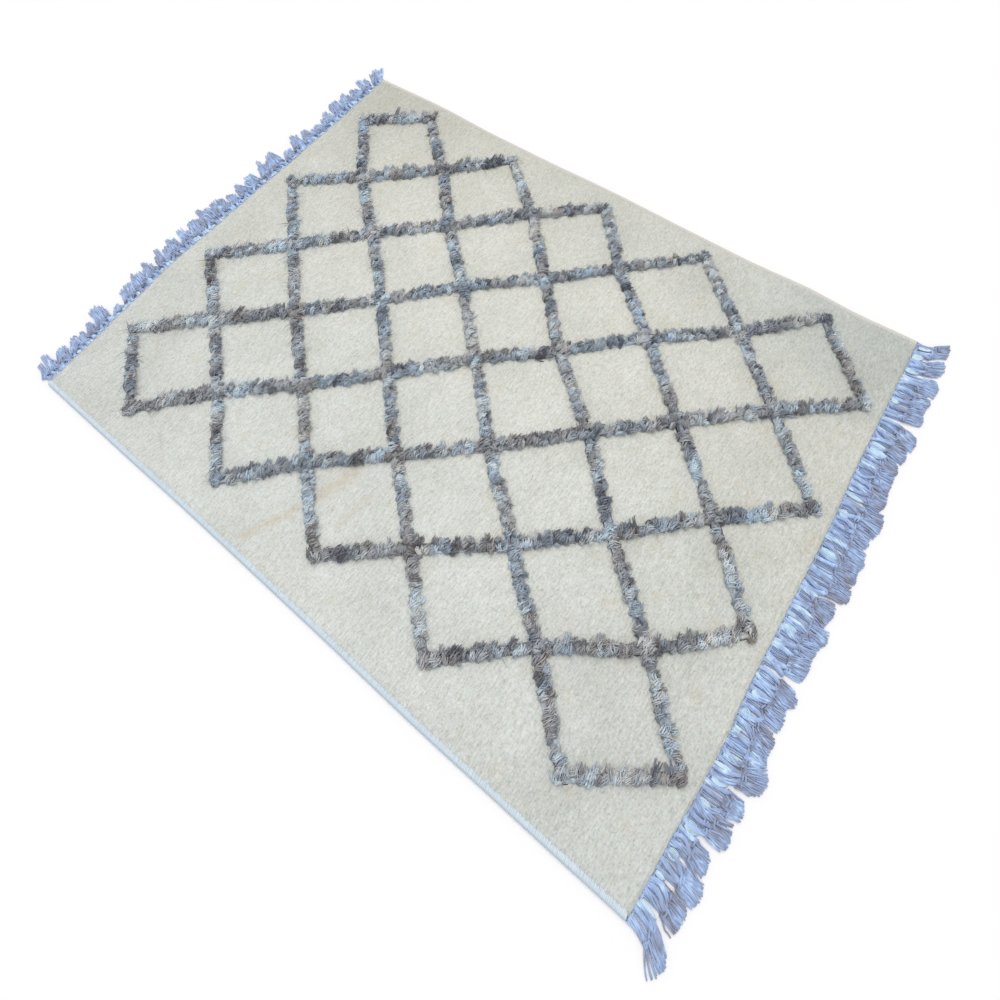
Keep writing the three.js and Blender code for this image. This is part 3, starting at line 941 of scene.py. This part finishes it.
# Reach and lean are each bundle's length past the cloth and its sideways lean at the tip, in
# millimetres, from the near edge on. The other values are metres, tones, or shares of a bundle.
FRINGES = [
    {
        "name": "right",
        "side": 1,
        "knot_way": 0.50,
        "gather": (0.00, 0.32),
        "corner_gather": (0.05, 0.36),
        "unruly": 0.0055,
        "cords_unruly": 0.0060,
        "brush_width": (0.0075, 0.0135),
        "brush_apart": 0.0120,
        "brush_reach": (0.86, 1.0),
        "brush_shade": (0.20, 0.54),
        "ragged": 0.93,
        "curl": (0.0004, 0.0020),
        "rounding": 0.20,
        "gap_width": (0.005, 0.020),
        "gap_reach": (0.22, 0.55),
        "corner_gaps": 1.1,
        "corner_fan": 1.0,
        "twined_tone": 0.45,
        "reach": [
            79, 79, 89, 78, 91, 95, 106, 90, 90, 90, 94, 88, 92, 97, 89,
            101, 102, 103, 92, 102, 89, 85, 87, 91, 98, 90, 90, 93, 84, 76,
        ],
        "lean": [
            -26, -12, -8, -4, 2, 12, 22, 14, 4, 3, 0, 0, 2, -3, 2,
            0, 4, 3, -4, 8, 6, 3, 6, 6, 2, 6, 12, 16, 26, 46,
        ],
    },
    {
        "name": "left",
        "side": -1,
        "knot_way": 0.24,
        "gather": (0.00, 0.30),
        "corner_gather": (0.00, 0.30),
        "unruly": 0.0035,
        "cords_unruly": 0.0030,
        "brush_width": (0.0105, 0.0070),
        "brush_apart": 0.0115,
        "brush_reach": (0.62, 1.0),
        "brush_shade": (0.31, 0.60),
        "ragged": 0.78,
        "curl": (0.0010, 0.0042),
        "rounding": 0.05,
        "gap_width": (0.004, 0.020),
        "gap_reach": (0.08, 0.30),
        "corner_gaps": 1.0,
        "corner_fan": 1.7,
        "twined_tone": 0.95,
        "reach": [
            100, 76, 75, 79, 110, 57, 92, 107, 112, 124, 116, 118, 115, 126, 112,
            92, 105, 104, 120, 116, 66, 106, 90, 64, 83, 94, 96, 78, 90, 78,
        ],
        "lean": [
            12, 8, 10, 10, 20, 6, 12, 18, 12, 14, 8, 12, 10, 16, 12,
            4, 8, 10, 18, 16, 8, 26, 12, 6, 18, 22, 22, 12, 30, 44,
        ],
    },
]
CORNER_BUNDLES = 9


def warp_cotton(name, stops):
    """Slack lavender-grey cotton: matt and linty, each yarn its own tone."""
    made, tree, shader = new_material(name)
    tone = add(tree, "ShaderNodeAttribute", attribute_name="tone")
    place = add(tree, "ShaderNodeTexCoord").outputs["Object"]
    lint = add(tree, "ShaderNodeTexNoise", {"Vector": place, "Scale": 330.0, "Detail": 2.0})
    spread = add(
        tree,
        "ShaderNodeMath",
        {0: lint.outputs["Fac"], 1: 0.12, 2: -0.06},
        operation="MULTIPLY_ADD",
    )
    total = add(
        tree, "ShaderNodeMath", {0: tone.outputs["Fac"], 1: spread.outputs[0]}, operation="ADD"
    )
    tree.links.new(colours(tree, total.outputs[0], stops), shader.inputs["Base Color"])
    bump = add(
        tree,
        "ShaderNodeBump",
        {"Height": lint.outputs["Fac"], "Strength": 0.2, "Distance": 0.0006},
    )
    tree.links.new(bump.outputs[0], shader.inputs["Normal"])
    shader.inputs["Roughness"].default_value = 0.95
    shader.inputs["Sheen Weight"].default_value = 0.25
    return made


def cloth_end(y, fringe):
    """Where the cloth ends at each place across it."""
    return np.interp(y, *(right_end if fringe["side"] > 0 else left_end))


def bundle_lines(fringe):
    """Each bundle's place on the cloth's end, its tip's place and lean, and how it gathers."""
    y = (np.arange(BUNDLES_PER_END) + 0.5) * BUNDLE_PITCH - CLOTH_WIDTH / 2
    start = cloth_end(y, fringe)
    chance = np.random.default_rng(50 + fringe["side"])
    reach = np.array(fringe["reach"]) / 1000 * chance.uniform(0.98, 1.05, BUNDLES_PER_END)
    tip = fringe["side"] * (CLOTH_LENGTH / 2 + reach) + y * END_SLANT
    kinds = np.where(np.arange(BUNDLES_PER_END) < CORNER_BUNDLES, "corner_gather", "gather")
    gather = [chance.uniform(*fringe[kind]) for kind in kinds]
    lean = np.array(fringe["lean"]) / 1000 + chance.normal(0, fringe["unruly"], BUNDLES_PER_END)
    return list(zip(y, start, tip, lean, gather))


def cord_yarns(fringe, rng):
    """The yarns of every cord, from the cloth's end to the bundle's knot."""
    knot_way = fringe["knot_way"]
    way = np.linspace(0, knot_way + 0.04, 8)
    part = way / knot_way
    paths, tones = [], []
    for y, _, tip, lean, gather in bundle_lines(fringe):
        for place in (-1, 0, 1):
            root = y + place * CORD_PITCH + rng.normal(0, 0.0026)
            start = cloth_end(root, fringe)
            turns = rng.uniform(0.4, 0.9)
            phase = rng.uniform(0, 2 * math.pi)
            bow = rng.normal(0, CORD_BOW)
            own_lean = rng.normal(0, fringe["cords_unruly"])
            thick = rng.uniform(0.65, 1.4)
            tone = rng.uniform(*CORD_TONE)
            for yarn in range(YARNS_PER_CORD):
                angle = phase + 2 * math.pi * (yarn / YARNS_PER_CORD + turns * part)
                aimed = y + (root - y) * (1 - gather * part**2) + own_lean * part**1.5
                middle = aimed + lean * way**LEAN_CURVE + bow * np.sin(math.pi * part)
                side_way = CORD_HALF_WIDTH * thick * np.cos(angle) + rng.normal(0, 0.0006) * part
                height = CORD_MIDDLE + CORD_HALF_HEIGHT * thick * np.sin(angle)
                height = np.maximum(height, CORD_LOWEST)
                paths.append(np.stack([start + (tip - start) * way, middle + side_way, height], 1))
                dusk = 0.08 * (1 - part) - 0.20 * np.clip(part - 0.6, 0, 0.5)
                tones.append(tone + rng.normal(0, 0.04) + dusk)
    return np.array(paths), np.array(tones)


def knot_wraps(fringe, rng):
    """The turns of yarn that wrap each cord's knot, pulled tight at a slant."""
    rings = 15
    turn = np.linspace(0, KNOT_TURNS * 2 * math.pi, rings)
    paths, tones = [], []
    for y, start, tip, lean, gather in bundle_lines(fringe):
        for place in (-1, 0, 1):
            way = fringe["knot_way"] + rng.normal(0.03, 0.06)
            phase = rng.uniform(0, 2 * math.pi)
            middle = y + lean * way**LEAN_CURVE + place * CORD_PITCH * (1 - gather)
            slant = rng.normal(0, 0.0025)
            x = start + (tip - start) * way + np.linspace(-0.004, 0.004, rings)
            across = KNOT_HALF_WIDTH * np.cos(turn + phase)
            height = KNOT_MIDDLE + KNOT_HALF_HEIGHT * np.sin(turn + phase)
            paths.append(np.stack([x + slant * np.cos(turn + phase), middle + across, height], 1))
            tones.append(np.full(rings, rng.uniform(*KNOT_TONE)))
    return np.array(paths), np.array(tones)


def brush_yarns(fringe, rng):
    """The loose ends past each knot: three soft brushes a bundle, lying side by side."""
    rings = 6
    t = np.linspace(0, 1, rings)
    knot_way = fringe["knot_way"]
    near_width, far_width = fringe["brush_width"]
    paths, tones = [], []
    for y, start, tip, lean, gather in bundle_lines(fringe):
        knot = start + (tip - start) * knot_way
        rounding = fringe["rounding"] * rng.uniform(0.1, 1.3)
        fanned = fringe["corner_fan"] if y > CORNER_FAN_FROM else 1.0
        for place in (-1, 0, 1):
            root = y + lean * knot_way**LEAN_CURVE + place * CORD_PITCH * (1 - gather)
            aim = y + lean + place * fringe["brush_apart"] * fanned + rng.normal(0, 0.0045)
            length = (tip - knot) * rng.uniform(*fringe["brush_reach"])
            if place == 0:
                length = (tip - knot) * rng.uniform(0.95, 1.0)
            spread = fanned * rng.uniform(0.6, 1.35)
            shade = rng.uniform(*fringe["brush_shade"])
            for fan in np.linspace(-1, 1, YARNS_PER_BRUSH) + rng.normal(0, 0.15, YARNS_PER_BRUSH):
                off_middle = (place * fringe["brush_apart"] + fan * far_width) / (1.5 * CORD_PITCH)
                reach = length * rng.uniform(fringe["ragged"], 1.01)
                reach = reach - length * rounding * min(off_middle**2, 1.6)
                curl = rng.uniform(*fringe["curl"]) * np.sin(
                    t * rng.uniform(3, 9) + rng.uniform(0, 2 * math.pi)
                )
                width = near_width + (far_width * spread - near_width) * t**0.8
                across = root + (aim - root) * t + fan * width + curl
                layer = rng.uniform(*BRUSH_LAYERS) * (1 - 0.5 * t)
                height = np.maximum(layer + 0.4 * curl, BRUSH_LOWEST)
                paths.append(np.stack([knot + reach * t, across, height], 1))
                light = 0.25 if rng.random() < PALE_BRUSH_YARNS else 0
                dusk = -0.14 * np.clip(1 - t / 0.35, 0, 1)
                mottle = 0.07 * np.sin(t * rng.uniform(6, 14) + rng.uniform(0, 2 * math.pi))
                tones.append(shade + rng.normal(0, 0.04) + light + dusk + mottle)
    return np.array(paths), np.array(tones)


def bed_warps(fringe, rng):
    """Grey single warps that lie low between the cords of a bundle."""
    way = np.linspace(0, 1, 4)
    paths, tones = [], []
    for y, start, tip, lean, gather in bundle_lines(fringe):
        for place in np.linspace(-0.42, 0.42, BED_PER_BUNDLE):
            root = y + place * BUNDLE_PITCH + rng.normal(0, 0.0008)
            reach = fringe["knot_way"] * rng.uniform(1.1, 1.8)
            aimed = y + (root - y) * (1 - 0.2 * gather * way**2)
            drift = lean * (way * reach) ** LEAN_CURVE + rng.normal(0, 0.0015) * way
            height = rng.uniform(*BED_LAYERS) * np.ones(4)
            paths.append(np.stack([start + (tip - start) * reach * way, aimed + drift, height], 1))
            tones.append(rng.uniform(*BED_TONE) * np.ones(4))
    return np.array(paths), np.array(tones)


def gap_shade_warps(fringe, rng):
    """Pale blue slack warps in the long gap between one bundle and the next, a painted shade that
    stands in for the floor's blue shade between the cords.
    """
    way = np.linspace(0, 1, 5)
    bundles = bundle_lines(fringe)
    paths, tones, gaps = [], [], []
    for (_, _, tip, lean, _), (y, start, next_tip, next_lean, _) in zip(bundles, bundles[1:]):
        corner = y < bundles[CORNER_BUNDLES][0]
        wide = fringe["corner_gaps"] if corner else 1.0
        middle_tip, middle_lean = (tip + next_tip) / 2, (lean + next_lean) / 2
        if corner or rng.random() < FIRST_GAPS:
            gaps.append((y - BUNDLE_PITCH / 2, start, middle_tip, middle_lean, wide))
        if rng.random() < SECOND_GAPS:
            beside = y + rng.choice((-1, 1)) * BUNDLE_PITCH / 6
            gaps.append((beside, start, next_tip, next_lean, 0.6))
    for y, start, tip, lean, share in gaps:
        middle = y + rng.normal(0, 0.0045)
        width = rng.uniform(*fringe["gap_width"]) * share
        length = rng.uniform(*fringe["gap_reach"])
        bare = rng.uniform(0, 0.18)
        for place in np.linspace(-0.5, 0.5, WARPS_PER_GAP):
            reach = length * (1 - 0.5 * place * place) * rng.uniform(0.92, 1.0)
            across = place * width * (0.55 + 0.45 * np.sin(math.pi * way))
            drift = lean * (way * reach) ** LEAN_CURVE
            height = rng.uniform(*GAP_LAYERS) * np.array([1.0, 1.0, 1.0, 0.9, 0.6])
            x = start + (tip - start) * (bare * fringe["knot_way"] + reach * way)
            paths.append(np.stack([x, middle + across + drift, height], 1))
            tones.append(rng.uniform(0.2, 1.0) * np.ones(5))
    return np.array(paths), np.array(tones)


def twined_rows(fringe, rng):
    """Two strands twisted round each other along the cloth's end, under the cords' roots."""
    y = np.linspace(-TWINE_HALF_LENGTH, TWINE_HALF_LENGTH, TWINE_POINTS)
    x = cloth_end(y, fringe) + fringe["side"] * 0.0036
    turn = y / TWINE_PITCH * math.pi
    paths = [
        np.stack([x + 0.0014 * np.cos(turn + half), y, 0.0030 + 0.0012 * np.sin(turn + half)], 1)
        for half in (0, math.pi)
    ]
    return np.array(paths), np.full((2, len(y)), fringe["twined_tone"])


CORD_STOPS = [
    (0.00, "#8d92a7"),
    (0.22, "#9aa7c4"),
    (0.50, "#a6bce3"),
    (0.78, "#bcd7fb"),
    (1.00, "#dbf1ff"),
]
# Painted shade: pale blue yarns in the gaps between bundles stand in for the floor's blue shade
# there.
GAP_SHADE_STOPS = [(0.0, "#c2e4ff"), (1.0, "#e4f8ff")]
warp = warp_cotton("lavender_grey_cotton_warp", CORD_STOPS)
gap_shade_warp = warp_cotton("pale_blue_gap_warp_painted_shade", GAP_SHADE_STOPS)
for fringe in FRINGES:
    rng = np.random.default_rng(100 + fringe["side"])
    for kind, made, sides, radius, tip_share, finish in (
        ("cords", cord_yarns(fringe, rng), 5, YARN_RADIUS * 1.15, 1.0, warp),
        ("knots", knot_wraps(fringe, rng), 5, YARN_RADIUS, 1.0, warp),
        ("brushes", brush_yarns(fringe, rng), 4, YARN_RADIUS, 0.8, warp),
        ("twining", twined_rows(fringe, rng), 5, YARN_RADIUS * 0.85, 1.0, warp),
        ("bed", bed_warps(fringe, rng), 3, YARN_RADIUS * 0.8, 0.7, warp),
        ("gap_shade_warps", gap_shade_warps(fringe, rng), 3, YARN_RADIUS * 0.7, 0.7, gap_shade_warp),
    ):
        paths, tones = made
        count, rings, _ = paths.shape
        spots = paths.reshape(-1, 3)
        worn = [noise.noise((a / MOTTLE_SIZE, b / MOTTLE_SIZE, 2.0)) for a, b, _ in spots]
        patch = [noise.noise((a / PATCH_SIZE, b / PATCH_SIZE, 4.0)) for a, b, _ in spots]
        worn = MOTTLE_SHARE * np.array(worn) + PATCH_SHARE * np.array(patch)
        tones = tones + worn.reshape(count, rings)
        radii = radius * np.linspace(1, tip_share, rings) * np.ones((count, 1))
        piece = yarns(f"fringe_{fringe['name']}_{kind}", paths, radii, sides, tone=tones)
        piece.data.materials.append(finish)
        settle(piece)
        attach(piece, "root")
    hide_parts(f"fringe_{fringe['name']}")
